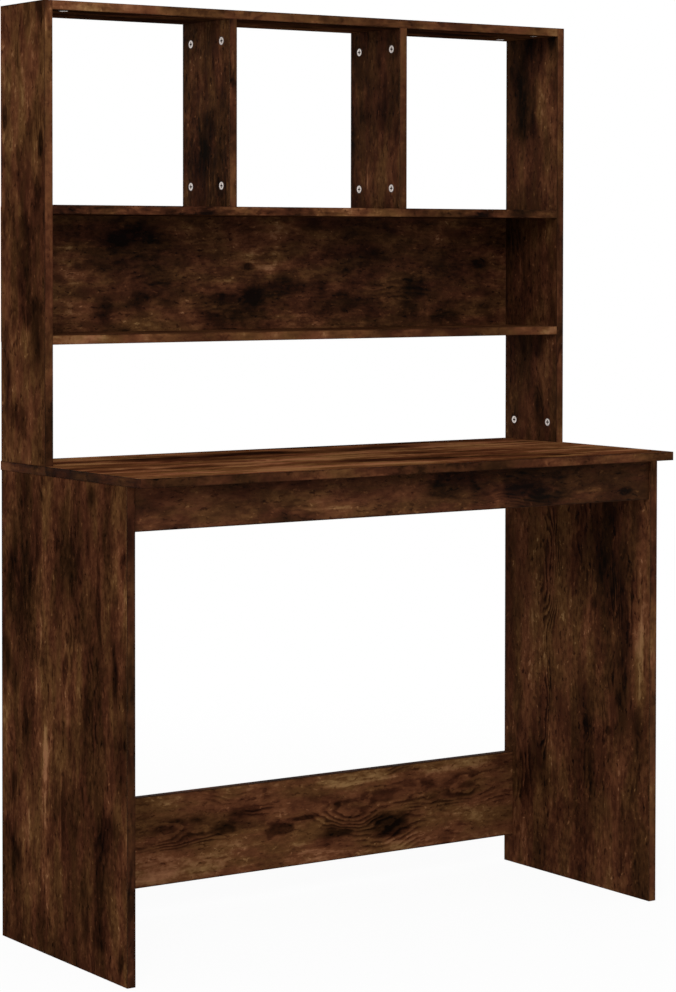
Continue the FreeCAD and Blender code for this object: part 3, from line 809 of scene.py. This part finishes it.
# Nails: short steel pins with round domed heads, driven through the back panel into the rear edges of the
# sides and shelves, a hand's width apart. Each head is a low dome of three rings, from the panel up.
NAIL_RADIUS = 0.0017
NAIL_DOME = 0.0004
NAIL_FOOT = -0.0001
NAIL_SIDES = 12
NAIL_INSET = 0.0065
ROW_SPACES = 8
panel_low, panel_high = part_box("hutch_back_panel")
left, right = panel_low.x + NAIL_INSET, panel_high.x - NAIL_INSET
bottom, top = panel_low.z + NAIL_INSET, panel_high.z - NAIL_INSET
places = []
for z in (bottom, top):
    for step in range(ROW_SPACES + 1):
        places.append((left + (right - left) * step / ROW_SPACES, z))
for x in (left, right):
    places.append((x, (bottom + top) / 2))
dome = ((NAIL_RADIUS, NAIL_FOOT), (NAIL_RADIUS * 0.92, NAIL_DOME * 0.5), (NAIL_RADIUS * 0.55, NAIL_DOME))
turns = [tau * side / NAIL_SIDES for side in range(NAIL_SIDES)]
nail_mesh = bpy.data.meshes.new("back_panel_nails")
shape = bmesh.new()
for x, z in places:
    rims = []
    for radius, rise in dome:
        ring = [(x + radius * cos(turn), panel_high.y + rise, z + radius * sin(turn)) for turn in turns]
        rims.append([shape.verts.new(corner) for corner in ring])
    for inner, outer in zip(rims[1:], rims):
        for side in range(NAIL_SIDES):
            after = (side + 1) % NAIL_SIDES
            shape.faces.new((outer[after], outer[side], inner[side], inner[after]))
    shape.faces.new(rims[-1][::-1])
    shape.faces.new(rims[0])
shape.normal_update()
shape.to_mesh(nail_mesh)
shape.free()
nails = bpy.data.objects.new("back_panel_nails", nail_mesh)
bpy.context.scene.collection.objects.link(nails)
nail_mesh.materials.append(plating)
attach(nails, "root")

# Studio: a pale paper floor that fades into the white backdrop, a broad soft lamp at the front left and an
# even fill from all round. The floor keeps the soft shadow of the desk.
FLOOR_RADIUS = 14.0
FLOOR_SIDES = 64
PAPER_GREY = (0.82, 0.82, 0.82, 1.0)
WHITE = (1.0, 1.0, 1.0, 1.0)
FILL_LIGHT = 0.6
LAMP_WIDTH = 3.0
LAMP_POWER = 150.0
LAMP_PLACE = (-2.4, -3.4, 3.4)
LAMP_AIM = (0.0, 0.0, 0.8)


def seen_directly(tree):
    """1 where the eye looks at the studio, also in metal or through glass, and 0 where its light falls."""
    rays = put(tree, "LightPath", {}).outputs
    reflected = sums(tree, "MAXIMUM", rays["Is Glossy Ray"], rays["Is Transmission Ray"])
    return sums(tree, "MAXIMUM", rays["Is Camera Ray"], reflected)


floor_mesh = bpy.data.meshes.new("studio_floor")
shape = bmesh.new()
bmesh.ops.create_circle(shape, cap_ends=True, segments=FLOOR_SIDES, radius=FLOOR_RADIUS)
shape.to_mesh(floor_mesh)
shape.free()
floor = bpy.data.objects.new("studio_floor", floor_mesh)
bpy.context.scene.collection.objects.link(floor)
paper, tree = new_finish("studio_paper")
away = length_of(tree, put(tree, "TexCoord", {}).outputs["Object"])
white = sums(tree, "MULTIPLY", seen_directly(tree), fade(tree, away, 0.6, 2.6, 0.95, 1.0))
matte = put(tree, "BsdfDiffuse", {"Color": PAPER_GREY}).outputs[0]
glow = put(tree, "Emission", {"Color": WHITE, "Strength": 1.0}).outputs[0]
blend = put(tree, "MixShader", {0: white, 1: matte, 2: glow}).outputs[0]
put(tree, "OutputMaterial", {"Surface": blend})
floor_mesh.materials.append(paper)

world = bpy.data.worlds.new("studio")
bpy.context.scene.world = world
world.use_nodes = True
tree = world.node_tree
tree.nodes.clear()
fill = put(tree, "Background", {"Color": WHITE, "Strength": FILL_LIGHT}).outputs[0]
backdrop = put(tree, "Background", {"Color": WHITE, "Strength": 1.0}).outputs[0]
blend = put(tree, "MixShader", {0: seen_directly(tree), 1: fill, 2: backdrop}).outputs[0]
put(tree, "OutputWorld", {"Surface": blend})

lamp = bpy.data.lights.new("soft_lamp", "AREA")
lamp.shape = "DISK"
lamp.size = LAMP_WIDTH
lamp.energy = LAMP_POWER
soft_lamp = bpy.data.objects.new("soft_lamp", lamp)
soft_lamp.location = LAMP_PLACE
bpy.context.scene.collection.objects.link(soft_lamp)
aim = Vector(LAMP_AIM) - soft_lamp.location
soft_lamp.rotation_euler = aim.to_track_quat("-Z", "Y").to_euler()

bpy.context.scene.view_settings.view_transform = "Standard"

# Camera: a long lens from the front left, a little above the desktop and tilted slightly down, with its back
# shifted so that the uprights stay nearly parallel. Its focal length is in pixels of the picture.
FOCAL_PIXELS = 2790.998
LONG_SIDE = 992
CAMERA_PLACE = (-2.7985345, -3.9184071, 1.1576399)
CAMERA_TILT = 0.0273
CAMERA_TURN = 0.5754
view = bpy.data.cameras.new("camera")
view.sensor_width = 36.0
view.lens = FOCAL_PIXELS * view.sensor_width / LONG_SIDE
view.shift_x = 0.1193
view.shift_y = -0.1693
camera = bpy.data.objects.new("camera", view)
camera.location = CAMERA_PLACE
camera.rotation_euler = (pi / 2 - CAMERA_TILT, 0.0, -CAMERA_TURN)
bpy.context.scene.collection.objects.link(camera)
bpy.context.scene.camera = camera
